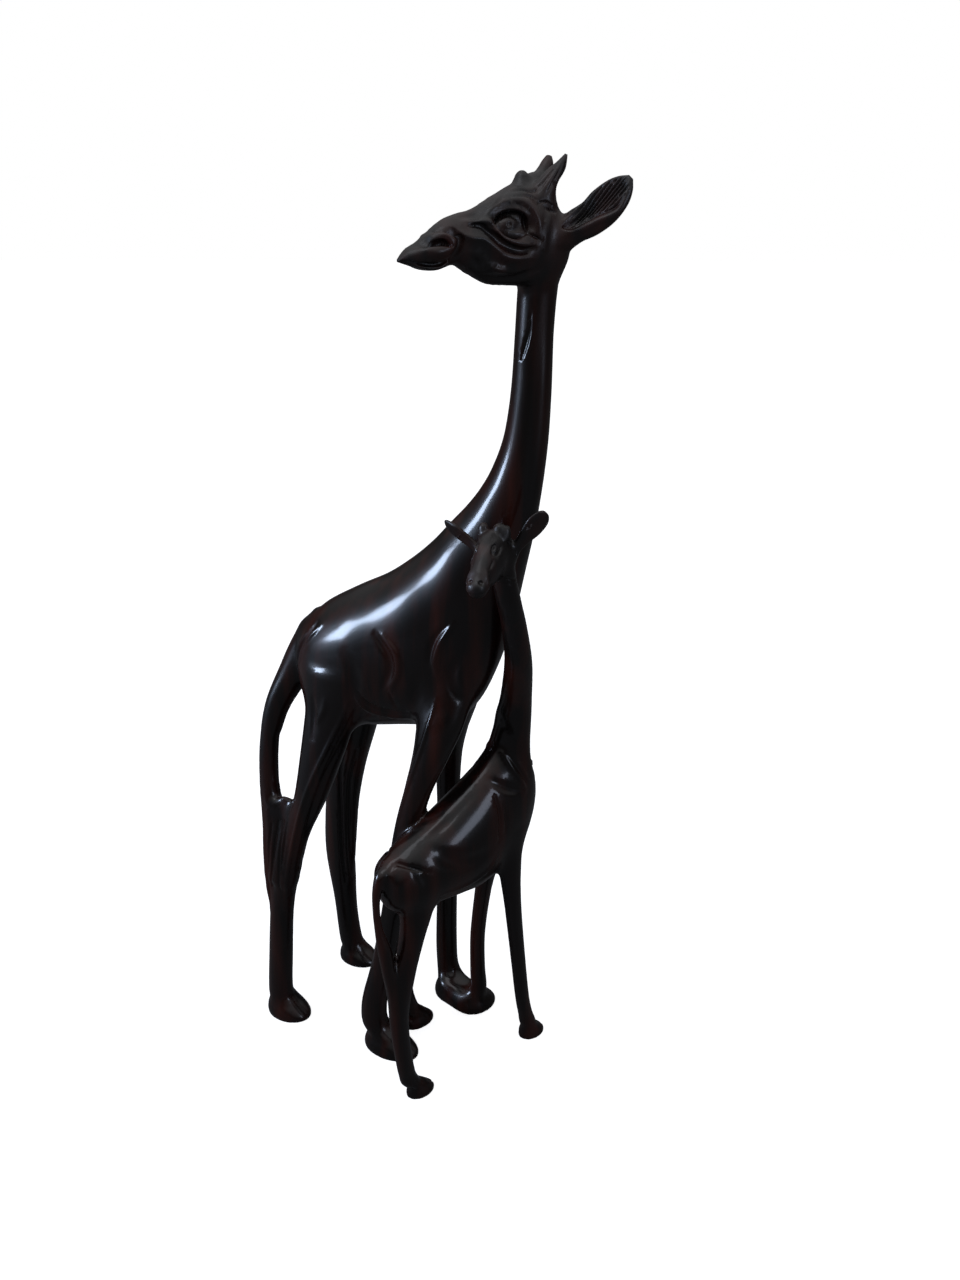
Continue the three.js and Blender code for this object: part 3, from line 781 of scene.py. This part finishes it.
CALF_CREASES = [
    # the ridge of the spine and the line under it
    line(1.2, -0.6, (-38, 127), (-24, 134.2), (-15.3, 138.5), (-7.1, 143.9), (4.8, 151.7),
         (14.8, 160.4)),
    line(1.4, 0.4, (3, 147.5), (-8, 140.5), (-15, 136.5), (-21, 133.5)),
    # hollows and edges of the shoulder
    line(3.2, 1.1, (11, 152), (15.6, 148.6), (20, 146), (25, 144)),
    line(1.8, -0.8, (18.4, 163), (22, 155), (25, 149.5), (27.5, 143)),
    line(1.4, -0.5, (23.7, 159), (27.1, 152), (30, 146)),
    line(1.7, 0.6, (20.4, 161), (24, 153.4), (27.4, 147.6)),
    # creases above the elbow
    line(1.4, 0.9, (10.8, 146), (11.9, 136), (10.7, 124)),
    line(1.3, 0.6, (14.8, 141), (15.2, 134), (14.4, 127)),
    # hollow of the flank, and the lump of the hip above it
    line(6.0, 1.3, (-21, 129), (-15.1, 124.6), (-6.1, 120.5), (4, 121)),
    line(4.0, 1.0, (-31, 125), (-28.5, 120), (-27, 115)),
    # the fold over the root of the tail
    line(1.4, 0.8, (-41, 123.5), (-37, 126.6), (-29.7, 123.8), (-24.3, 121.2)),
    # two folds round the neck below the jaw
    line(1.0, 0.5, (-10, 256.2), (-4, 254.5), (2.3, 252.9), (8, 252)),
    line(1.0, 0.35, (-8, 254), (-3, 252.6), (2.8, 251.3), (8, 250.6)),
    # the edge of the belly
    line(1.6, -0.6, (10, 115.8), (6.6, 111.3), (-4.6, 107), (-18.8, 107.5)),
    line(1.4, 0.6, (-35, 95), (-38.2, 84), (-41, 76)),
]
CLEFT_WIDTH, CLEFT_DEPTH = 0.18, 0.08  # shares of the hoof's half width and half length
CLEFT_START, CLEFT_FULL, TOE_END = 0.35, 0.75, 1.3  # shares of the half length, from the middle
CLEFT_TOP = 0.7  # share of the hoof's height


def toe_clefts(points, feet):
    """Depth of the short cleft in the front of each hoof."""
    depth = np.zeros(len(points))
    for x, y, length, width, height in feet:
        along, across, up = (points[:, 0] - x) / length, points[:, 1] - y, points[:, 2]
        cleft = np.clip(1 - np.abs(across) / (CLEFT_WIDTH * width), 0, 1)
        cleft *= rise(along, CLEFT_START, CLEFT_FULL) * (along < TOE_END)
        depth += CLEFT_DEPTH * length * cleft * (1 - rise(up, CLEFT_TOP * height, height))
    return depth


def calf_body(points):
    field = np.full(len(points), REACH)
    for form in [CALF_BODY] + CALF_LEGS:
        join(field, points, form, soft=4)
    join(field, points, CALF_TAIL, soft=2.6)
    return field


def calf_cuts(p):
    """Depth of all strokes on the calf below its jaw. Only its near hooves are cleft."""
    side = rise(np.abs(p[:, 1] - MIDDLE), 2, 5)
    depth = strokes(p[:, [0, 2]], CALF_CREASES) * side
    depth += toe_clefts(p, [CALF_FEET[0], CALF_FEET[2]])
    return depth + hair(p, CALF_TAIL, start=0.5, end=0.95, strands=5, depth=0.25)


# The calf's head
# A shorter egg at about three fifths of the size, with a blunt muzzle, stubs for horns and slit
# eyes. Both ears stand out to the sides, one in front of the mother's neck.
CALF_EYE_BALL = Ball((18, 4.4, 6.2), (3.8, 3, 2.2))
CALF_FORMS = [
    # brow, cheek bone and the swell of the muzzle
    line(2.2, -0.8, (24.5, 7), (20, 10.4), (15, 11), (11.5, 8)),
    line(2.0, -0.9, (29.5, -2), (24, -1.2), (19.5, -2.4), (15, -5.5), (10, -7)),
    line(2.0, -0.9, (33, 0.5), (36.6, -3), (37.4, -9), (36.8, -13.5)),
    # the socket of the eye
    [(22.5, 5.6, 2, 0.8), (18, 6.2, 3.4, 1.5), (13.6, 6.4, 2.4, 0.9)],
    # the recess behind the muzzle
    line(2.4, 1.2, (30.5, -3), (33.4, -6.5), (33.6, -11.5)),
]
CALF_CUTS = [
    # lids, and the line over them
    line(0.9, 1.0, (22.6, 4.6), (20.6, 7.6), (17, 8.8), (13.8, 8)),
    line(0.9, 0.9, (22.6, 4), (19.4, 3.6), (15.6, 4.2), (13.2, 5.6)),
    line(1.0, 0.7, (19.4, 10.2), (16.6, 11.2), (13.6, 11)),
    # the crease from eye to muzzle
    line(1.0, 0.9, (24.5, 2.8), (28, 0.4), (31.4, -0.6)),
]
CALF_MOUTH = line(1.2, 0.6, (48, -12.2), (44, -12.4), (40, -12.4), (36.5, -11.8))
MOUTH_REACH = 9.0  # half width of the face that the mouth line runs round
CALF_NOSTRIL, NOSTRIL_RADIUS, NOSTRIL_DEPTH = (41.6, 3.6, -4.4), 1.9, 1.6


def carve_calf_forms(field, p):
    carve_face(field, p, CALF_FORMS, CALF_EYE_BALL)


def calf_face_cuts(p):
    flat = p[:, [0, 2]]
    depth = strokes(flat, CALF_CUTS, sharp=True) * on_face(p)
    depth += stroke(flat, CALF_MOUTH, False) * (np.abs(p[:, 1]) < MOUTH_REACH)
    off = np.linalg.norm(folded(p) - CALF_NOSTRIL, axis=1) / NOSTRIL_RADIUS
    return depth + NOSTRIL_DEPTH * np.clip(1 - off * off, 0, 1)


CALF_SKULL = Roll([
    span(43.6, -8.5, 43.4, -12.5, 2.4),
    span(42.2, -6.2, 42, -14.4, 4.4),
    span(40, -2.8, 40, -15.6, 6),
    span(37, 0.6, 37, -15.8, 6.5),
    span(33.5, 3, 34, -15, 6.5),
    span(29.5, 5.4, 30.5, -15.8, 7),
    span(22, 9.4, 24.5, -18.6, 8.7),
    span(14, 12.6, 17, -19.4, 10),
    span(7, 13.2, 9, -19.6, 10.6),
    span(2, 11.2, 2, -19.4, 10.4),
    span(-2, 6, -2.5, -18, 9),
    span(-5, 0.5, -5.5, -14, 6.8),
    span(-6.8, -4, -7.2, -9.5, 3),
])
CALF_STUBS = [
    [(4, -5.6, 7, 4.2), (3.2, -6.2, 11.5, 3.5), (2.4, -6.5, 14.4, 2.9), (2, -6.5, 16, 1.5)],
    [(4, 4.6, 8, 4.6), (3.4, 4.6, 12.5, 4.2), (3, 4.4, 15.6, 3.2), (2.8, 4.2, 16.8, 1.6)],
    [(4, 7.6, 7, 4), (3, 8.6, 11.5, 3.2), (2.4, 9.2, 14.2, 2.2), (2.2, 9.4, 15.4, 1)],
]
CALF_MUZZLE = Ball((39.8, 0, -9.8), (5.9, 6.8, 6.5))
CALF_GROWTHS = [CALF_MUZZLE] + [Roll(taper(rows)) for rows in CALF_STUBS]
CALF_LEAF = [
    (0, 0, 5, 4),
    (0.2, 0.6, 3.9, 3.3),
    (0.4, 1.8, 5.2, 2.9),
    (0.6, 3.2, 7.4, 2.7),
    (0.8, 3.6, 7.8, 2.4),
    (0.93, 2.8, 5.8, 1.9),
    (1.02, 1.6, 2.2, 0.9),
]
CALF_EAR_ROOT, CALF_EAR_FACE = (-1, 9, -8), (0.76, 0.5, -0.4)
CALF_EARS = [
    Ear(CALF_LEAF, 1, CALF_EAR_ROOT, (-3, 20, 32), CALF_EAR_FACE, fine=0),
    Ear(CALF_LEAF, -1, CALF_EAR_ROOT, (-3, 25, 20), CALF_EAR_FACE, fine=0),
]
CALF_HEAD = Head(
    poll=(79.6, -23.8, 265.5),
    heading=-85,
    dip=12,
    size=0.58,
    skull=CALF_SKULL,
    growths=CALF_GROWTHS,
    ears=CALF_EARS,
    forms=carve_calf_forms,
    face_cuts=calf_face_cuts,
)

# The whole group as one piece of wood
# The calf's rump and hoof run into the mother's legs. A net is laid over the wood, drawn onto its
# surface, and made finer where the cuts are fine.
GROUP_MIDDLE = np.array([36.1, -11.7, 0])


def to_calf(p):
    return turned(p - np.array([*CALF_PLACE, 0]), -CALF_TURN)


def distance_to(form, p):
    field = np.full(len(p), REACH)
    close = form.near(p)
    field[close] = form.distance(p[close])
    return field


def four_parts(points):
    """Distance to the mother's body, her head, the calf's body and its head."""
    p = points + GROUP_MIDDLE
    mother, calf = mother_body(p), calf_body(to_calf(p))
    return [mother, distance_to(MOTHER_HEAD, p), calf, distance_to(CALF_HEAD, p)]


# the hooves of the two animals run into one lump: how soft the corner between them is, by height
JOIN_HEIGHTS, JOIN_SOFT = [10, 22], [13, 2]
NECK_SOFT, CALF_NECK_SOFT = 4, 2.5


def carving(points):
    """Distance out of the roughed-out wood, about, in the group's frame."""
    mother, head, calf, calf_head = four_parts(points)
    mother, calf = soft_min(mother, head, NECK_SOFT), soft_min(calf, calf_head, CALF_NECK_SOFT)
    field = soft_min(mother, calf, np.interp(points[:, 2], JOIN_HEIGHTS, JOIN_SOFT))
    return np.maximum(field, -points[:, 2])


def cuts(points, part):
    """Depth of the chisel cuts at each point, which lies on one of the four parts."""
    p = points + GROUP_MIDDLE
    depth = np.zeros(len(p))
    made = [mother_cuts, MOTHER_HEAD.cuts, lambda some: calf_cuts(to_calf(some)), CALF_HEAD.cuts]
    for n, cut in enumerate(made):
        depth[part == n] = cut(p[part == n])
    return depth


CORNERS = np.array([[i, j, k] for i in (0, 1) for j in (0, 1) for k in (0, 1)])


def block_of(count):
    """Every whole place in a block of so many cells."""
    return np.stack(np.meshgrid(*[np.arange(n) for n in count], indexing="ij"), -1).reshape(-1, 3)


HALF_DIAGONAL, SPARE = 0.9, 1.5  # of a block, as a share of its side, and millimetres to spare


def lattice(cell, low, high, group=4):
    """The distance at every node of a lattice, worked out only in blocks near the surface."""
    count = np.ceil((high - low) / (group * cell)).astype(int)
    blocks = block_of(count)
    coarse = carving(low + (blocks + 0.5) * group * cell)
    value = np.kron(np.sign(coarse).reshape(count), np.ones((group,) * 3)) * REACH
    value = np.pad(value, ((0, 1),) * 3, mode="edge")
    close = blocks[np.abs(coarse) < HALF_DIAGONAL * group * cell + SPARE] * group
    wanted = np.zeros(value.shape, bool)
    wanted[tuple((close[:, None] + block_of([group + 1] * 3)[None]).reshape(-1, 3).T)] = True
    value[wanted] = carving(low + np.argwhere(wanted) * cell)
    return value


def net(value, cell, low):
    """One point in each cell that the surface crosses, and triangles between them."""
    inside = value < 0
    shape = np.array(value.shape) - 1
    corner = [inside[i:i + shape[0], j:j + shape[1], k:k + shape[2]] for i, j, k in CORNERS]
    mixed = np.any(corner, axis=0) & ~np.all(corner, axis=0)
    cells = np.argwhere(mixed)
    at = np.stack([value[tuple((cells + c).T)] for c in CORNERS], axis=1)
    total, crossings = np.zeros((len(cells), 3)), np.zeros(len(cells))
    for a, b in [(a, b) for a in range(8) for b in range(a) if abs(CORNERS[a] - CORNERS[b]).sum() == 1]:
        crosses = (at[:, a] < 0) != (at[:, b] < 0)
        share = np.where(crosses, at[:, a] / np.where(crosses, at[:, a] - at[:, b], 1), 0)
        total += np.where(crosses[:, None], CORNERS[a] + share[:, None] * (CORNERS[b] - CORNERS[a]), 0)
        crossings += crosses
    points = low + (cells + total / crossings[:, None]) * cell
    index = np.full(mixed.shape, -1)
    index[tuple(cells.T)] = np.arange(len(cells))
    faces = []
    for axis in range(3):
        one, two = np.delete(np.eye(3, dtype=int), axis, 0)
        nodes = np.argwhere(np.diff(inside, axis=axis))
        around = (nodes - one - two, nodes - two, nodes, nodes - one)
        quad = np.stack([index[tuple(c.T)] for c in around], axis=1)
        flip = inside[tuple(nodes.T)] == (axis == 1)
        quad[flip] = quad[flip][:, ::-1]
        faces += [quad[:, [0, 1, 2]], quad[:, [0, 2, 3]]]
    return points, np.vstack(faces)


def gathered(index, values, count):
    """The sum of values at each index."""
    return np.stack([np.bincount(index, column, count) for column in values.T], axis=1)


def outward(points, faces):
    """The direction out of the surface at each point."""
    a, b, c = (points[faces[:, n]] for n in range(3))
    normal = np.tile(np.cross(b - a, c - a), (3, 1))
    total = gathered(faces.T.ravel(), normal, len(points))
    return total / np.maximum(np.linalg.norm(total, axis=1), 1e-12)[:, None]


def onto_surface(points, faces, limit, rounds):
    """Draws every point onto the wood, straight in or out."""
    for _ in range(rounds):
        move = np.clip(carving(points), -limit, limit)
        points = points - outward(points, faces) * move[:, None]
        points[:, 2] = np.maximum(points[:, 2], 0)
    return points


def evened(points, faces, share):
    """Points moved a share of the way to the middle of their neighbours."""
    start, end = faces.T.ravel(), np.roll(faces, -1, axis=1).T.ravel()
    many = np.bincount(start, minlength=len(points))[:, None]
    middle = gathered(start, points[end], len(points)) / many
    return points + share * (middle - points)


# an edge is split where a cut bends or falls by more millimetres than this, or the wood turns more
FINEST_BEND, FINEST_STEP, FINEST_TURN = 0.065, 0.36, math.radians(25)


def halved(points, faces, part, shortest):
    """Splits every edge across which the wood turns or a cut falls away too fast."""
    ends = np.sort(np.vstack([faces[:, [0, 1]], faces[:, [1, 2]], faces[:, [2, 0]]]), axis=1)
    key, index = np.unique(ends[:, 0] * len(points) + ends[:, 1], return_inverse=True)
    start, end = key // len(points), key % len(points)
    middle, owner = (points[start] + points[end]) / 2, part[start]
    depth = cuts(points, part)
    bend = np.abs(cuts(middle, owner) - (depth[start] + depth[end]) / 2)
    step = np.abs(depth[start] - depth[end])
    out = outward(points, faces)
    turn = np.sum(out[start] * out[end], axis=1)
    length = np.linalg.norm(points[start] - points[end], axis=1)
    fine = (bend > FINEST_BEND) | (step > FINEST_STEP) | (turn < math.cos(FINEST_TURN))
    split = fine & (length > shortest)
    new = np.where(split, len(points) + np.cumsum(split) - 1, -1)
    cut = new[index].reshape(3, -1).T
    many = (cut >= 0).sum(1)
    turn = np.where(many == 1, (cut >= 0).argmax(1), np.where(many == 2, (cut < 0).argmax(1) + 1, 0))
    order = (turn[:, None] + np.arange(3)) % 3
    a, b, c = np.take_along_axis(faces, order, 1).T
    ab, bc, ca = np.take_along_axis(cut, order, 1).T
    patterns = {
        0: [(a, b, c)],
        1: [(a, ab, c), (ab, b, c)],
        2: [(a, ab, bc), (ab, b, bc), (a, bc, c)],
        3: [(a, ab, ca), (ab, b, bc), (ca, bc, c), (ab, bc, ca)],
    }
    out = [np.stack(face, axis=1)[many == n] for n, made in patterns.items() for face in made]
    return np.vstack([points, middle[split]]), np.vstack(out), np.concatenate([part, owner[split]])


CELL = 1.8
ROUNDS = 3
SHORTEST = 0.7 * CELL  # edge that the first round still splits
NUDGE = 0.3 * CELL  # farthest that a point is drawn onto the wood
low, high = (np.array(corner) * 1000 for corner in cad_box)
low, high = low - 3 * CELL, high + 3 * CELL
low[2] = -1.5 * CELL
points, faces = net(lattice(CELL, low, high), CELL, low)
points = onto_surface(evened(points, faces, share=0.5), faces, limit=CELL, rounds=3)
part = np.argmin(four_parts(points), axis=0)
for n in range(ROUNDS):
    old = len(points)
    points, faces, part = halved(points, faces, part, SHORTEST / 2 ** n)
    drawn = onto_surface(points, faces, limit=NUDGE, rounds=1)
    points[old:] = drawn[old:]
points = onto_surface(evened(points, faces, share=0.4), faces, limit=NUDGE, rounds=2)
points = points - outward(points, faces) * cuts(points, part)[:, None]
points[:, 2] = np.maximum(points[:, 2], 0)
wood_mesh = bpy.data.meshes.new("giraffe_and_calf")
wood_mesh.from_pydata((points * 0.001).tolist(), [], faces.tolist())
wood_mesh.shade_smooth()
mother, head, calf, calf_head = four_parts(points)
# the finish changes over a few millimetres where each head meets its neck
dull = rise(np.minimum(mother, calf) - np.minimum(head, calf_head), -2, 3)
wood_mesh.attributes.new("dull", "FLOAT", "POINT").data.foreach_set("value", dull)
sculpture = bpy.data.objects.new("giraffe_and_calf", wood_mesh)
bpy.context.scene.collection.objects.link(sculpture)


# The wood
# African blackwood, rubbed down and polished with wax: near black, with brown-red streaks along
# the grain, and fine open pores. The smooth bodies mirror the windows, and the finely cut heads
# are duller.
STREAK_WIDTH, STREAK_LENGTH = 0.009, 0.12  # metres
# real pores are about 0.1 mm wide, and these are drawn coarser so that they show
PORE_WIDTH, PORE_LENGTH = 0.0005, 0.005


def linear(hex_colour):
    """An sRGB hex colour as linear red, green, blue and alpha."""
    parts = [int(hex_colour[i:i + 2], 16) / 255 for i in (1, 3, 5)]
    return [c / 12.92 if c <= 0.04045 else ((c + 0.055) / 1.055) ** 2.4 for c in parts] + [1.0]


def add(tree, kind, links=(), **settings):
    """Adds one node with its settings, and its links as (socket, from node, from socket)."""
    node = tree.nodes.new(kind)
    for name, value in settings.items():
        if name.title() in node.inputs:
            node.inputs[name.title()].default_value = value
        else:
            setattr(node, name, value)
    for socket, source, output in links:
        tree.links.new(source.outputs[output], node.inputs[socket])
    return node


def polished_blackwood():
    material = bpy.data.materials.new("polished_african_blackwood")
    material.use_nodes = True
    tree = material.node_tree
    shader = tree.nodes["Principled BSDF"]
    shader.inputs["IOR"].default_value = 1.5
    dull = add(tree, "ShaderNodeAttribute", attribute_name="dull")
    finishes = {"Roughness": (0.34, 0.44), "Specular IOR Level": (0.25, 0.65), "Coat Weight": (0.7, 0.12)}
    for socket, (polished, plain) in finishes.items():
        finish = add(tree, "ShaderNodeMapRange", [("Value", dull, "Fac")])
        finish.inputs["To Min"].default_value = polished
        finish.inputs["To Max"].default_value = plain
        tree.links.new(finish.outputs["Result"], shader.inputs[socket])
    shader.inputs["Coat Roughness"].default_value = 0.13
    shader.inputs["Coat IOR"].default_value = 1.5
    place = add(tree, "ShaderNodeTexCoord")
    # the grain stands upright in the block, and the streaks and pores run along it
    streaks = add(tree, "ShaderNodeMapping", [("Vector", place, "Object")])
    streaks.inputs["Scale"].default_value = (1 / STREAK_WIDTH, 1 / STREAK_WIDTH, 1 / STREAK_LENGTH)
    streak = add(tree, "ShaderNodeTexNoise", [("Vector", streaks, "Vector")], scale=1.0, detail=4.0)
    colours = add(tree, "ShaderNodeValToRGB", [("Fac", streak, "Fac")])
    for stop, position, colour in zip(colours.color_ramp.elements, (0.44, 0.74), ("#0c0504", "#36130b")):
        stop.position = position
        stop.color = linear(colour)
    tree.links.new(colours.outputs["Color"], shader.inputs["Base Color"])
    pores = add(tree, "ShaderNodeMapping", [("Vector", place, "Object")])
    pores.inputs["Scale"].default_value = (1 / PORE_WIDTH, 1 / PORE_WIDTH, 1 / PORE_LENGTH)
    pore = add(tree, "ShaderNodeTexNoise", [("Vector", pores, "Vector")], scale=1.0, detail=2.0)
    bump = add(tree, "ShaderNodeBump", [("Height", pore, "Fac")], strength=0.12, distance=0.0002)
    tree.links.new(bump.outputs["Normal"], shader.inputs["Normal"])
    return material


wood_mesh.materials.append(polished_blackwood())
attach(sculpture, "root")
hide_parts("giraffe_and_calf_carving")

# The floor and the light
# A white paper floor in a dim room, lit by a bright window far to the left, a weaker and taller
# one to the right and a soft light above. The picture sees the paper bright, and what the wood
# mirrors is the dim room.
FLOOR_REACH = 40.0
PAPER_WHITE, PAPER_GLOW, PAPER_MIRRORED = 0.8, 0.8, 0.12


def seen_or_mirrored(tree, seen, mirrored):
    """One shader for the picture itself and another for light that bounces."""
    path = add(tree, "ShaderNodeLightPath")
    mix = add(tree, "ShaderNodeMixShader", [("Fac", path, "Is Camera Ray")])
    tree.links.new(mirrored.outputs[0], mix.inputs[1])
    tree.links.new(seen.outputs[0], mix.inputs[2])
    return mix


floor_mesh = bpy.data.meshes.new("paper_floor")
r = FLOOR_REACH
floor_mesh.from_pydata([(-r, -r, 0), (r, -r, 0), (r, r, 0), (-r, r, 0)], [], [(0, 1, 2, 3)])
floor = bpy.data.objects.new("paper_floor", floor_mesh)
bpy.context.scene.collection.objects.link(floor)
paper = bpy.data.materials.new("matt_white_paper")
paper.use_nodes = True
tree = paper.node_tree
tree.nodes.remove(tree.nodes["Principled BSDF"])
dim = add(tree, "ShaderNodeBsdfDiffuse", color=[PAPER_MIRRORED] * 3 + [1])
bright = add(tree, "ShaderNodeBsdfDiffuse", color=[PAPER_WHITE] * 3 + [1])
glow = add(tree, "ShaderNodeEmission", strength=PAPER_GLOW)
both = add(tree, "ShaderNodeAddShader")
tree.links.new(bright.outputs[0], both.inputs[0])
tree.links.new(glow.outputs[0], both.inputs[1])
surface = seen_or_mirrored(tree, both, dim)
tree.links.new(surface.outputs[0], tree.nodes["Material Output"].inputs["Surface"])
floor_mesh.materials.append(paper)
floor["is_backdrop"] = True

world = bpy.data.worlds.new("studio")
world.use_nodes = True
tree = world.node_tree
white = tree.nodes["Background"]
white.inputs["Color"].default_value = [1, 1, 1, 1]
white.inputs["Strength"].default_value = 1.0
direction = add(tree, "ShaderNodeTexCoord")
height = add(tree, "ShaderNodeSeparateXYZ", [("Vector", direction, "Generated")])
room = add(tree, "ShaderNodeValToRGB", [("Fac", height, "Z")])
room.color_ramp.elements[0].position = 0.15
room.color_ramp.elements[0].color = [0.03, 0.028, 0.028, 1]
room.color_ramp.elements[1].position = 0.95
room.color_ramp.elements[1].color = [0.6, 0.6, 0.62, 1]
dome = add(tree, "ShaderNodeBackground", [("Color", room, "Color")], strength=1.0)
surface = seen_or_mirrored(tree, white, dome)
tree.links.new(surface.outputs[0], tree.nodes["World Output"].inputs["Surface"])
bpy.context.scene.world = world
bpy.context.scene.view_settings.view_transform = "Standard"

# angles are measured from the camera's side of the group, in degrees, to the picture's right
CAMERA_SIDE = -66.0
WINDOWS_FACE = Vector((0, 0, 0.2))


def window(name, angle, climb, distance, width, height, brightness, colour):
    """A bright panel that faces the middle of the group."""
    around = math.radians(CAMERA_SIDE + angle)
    up = math.radians(climb)
    toward = Vector((math.cos(around) * math.cos(up), math.sin(around) * math.cos(up), math.sin(up)))
    light = bpy.data.lights.new(name, "AREA")
    light.shape = "RECTANGLE"
    light.size, light.size_y = width, height
    light.color = linear(colour)[:3]
    light.energy = brightness * math.pi * width * height
    lamp = bpy.data.objects.new(name, light)
    lamp.location = WINDOWS_FACE + toward * distance
    lamp.rotation_euler = (-toward).to_track_quat("-Z", "Y").to_euler()
    bpy.context.scene.collection.objects.link(lamp)


window(
    "left_window", angle=-79, climb=12, distance=1.6,
    width=0.36, height=0.4, brightness=30, colour="#cfe2ff",
)
window(
    "right_window", angle=44, climb=12, distance=1.8,
    width=0.4, height=0.7, brightness=3.6, colour="#dde8ff",
)
window(
    "top_light", angle=-40, climb=62, distance=1.5,
    width=0.8, height=0.6, brightness=1.2, colour="#f2f6ff",
)

# The camera
# It stands 367 mm up, about as high as the mother's eyes, and looks down on her from her near
# side.
camera_data = bpy.data.cameras.new("camera")
camera_data.lens = 27
camera_data.sensor_width = 36
camera_data.clip_start = 0.01
camera = bpy.data.objects.new("camera", camera_data)
camera.location = (0.17917, -0.33118, 0.367)
camera.rotation_euler = Euler((math.radians(68), 0, math.radians(24)))
bpy.context.scene.collection.objects.link(camera)
bpy.context.scene.camera = camera

boxes = {"cad": cad_box, "visual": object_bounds()}
{name: [list(corner) for corner in box] for name, box in boxes.items()}
